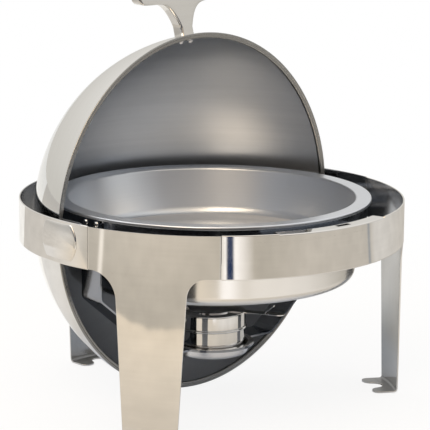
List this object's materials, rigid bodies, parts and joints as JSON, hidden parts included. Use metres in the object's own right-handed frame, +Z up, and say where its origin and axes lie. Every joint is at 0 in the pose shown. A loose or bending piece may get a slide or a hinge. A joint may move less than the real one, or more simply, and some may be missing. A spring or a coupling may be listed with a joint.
{
  "type": "roll-top chafing dish food warmer",
  "caption": "Round roll-top chafing dish on sheet legs: food pan over a water bath, domed lid that rolls under the ring, and a fuel burner hung below",
  "frame": {"origin": "On the floor, under the centre of the ring", "axes": "+Z up; the front of the dish, where the lid rest is, faces -Y; the lid turns about the X direction and stands open towards +Y"},
  "size_m": [0.4938, 0.488, 0.5236],
  "materials": {
    "polished_steel": "mirror-polished stainless sheet and casting",
    "satin_steel": "satin stainless sheet",
    "inner_steel": "mill-finish stainless sheet",
    "hardware_steel": "turned stainless pins, nuts, studs and rivets"
  },
  "bodies": {
    "frame": {"band_front": "polished_steel", "band_rear_left": "polished_steel", "band_rear_right": "polished_steel", "leg_front_left": "polished_steel", "leg_front_right": "polished_steel", "leg_rear": "polished_steel", "pan_collar": "inner_steel", "water_pan": "satin_steel", "pivot_pin_left": "hardware_steel", "pivot_pin_right": "hardware_steel", "pivot_nut_left": "hardware_steel", "pivot_nut_right": "hardware_steel", "pivot_sleeves_left": "hardware_steel", "pivot_sleeves_right": "hardware_steel", "pivot_cap_left": "polished_steel", "pivot_cap_right": "polished_steel", "lid_stop_pins": "hardware_steel", "burner_hanger": "satin_steel", "hanger_rivets": "hardware_steel", "burner_tray": "satin_steel"},
    "lid": {"lid_shell": "polished_steel", "lid_ear_left": "satin_steel", "lid_ear_right": "satin_steel", "lid_handle": "polished_steel", "handle_cap_nuts": "hardware_steel"},
    "food_pan": {"food_pan": "satin_steel"},
    "fuel_holder": {"fuel_cup": "polished_steel", "fuel_cover": "polished_steel", "fuel_side_rivets": "hardware_steel", "damper_rivet": "hardware_steel"},
    "damper": {"damper": "polished_steel"}
  },
  "joints": [
    {"name": "lid_roll", "type": "hinge", "parent": "frame", "child": "lid", "pos_m": [0, 0, 0.2375], "axis": [1, 0, 0], "range_deg": [0, 90]},
    {"name": "food_pan_lift", "type": "slide", "parent": "frame", "child": "food_pan", "axis": [0, 0, 1], "range_m": [0, 0.04]},
    {"name": "fuel_lift", "type": "slide", "parent": "frame", "child": "fuel_holder", "axis": [0, 0, 1], "range_m": [0, 0.03]},
    {"name": "damper_swing", "type": "hinge", "parent": "fuel_holder", "child": "damper", "pos_m": [-0.0177, 0.03066, 0.1146], "axis": [0, 0, 1], "range_deg": [0, 45]}
  ]
}
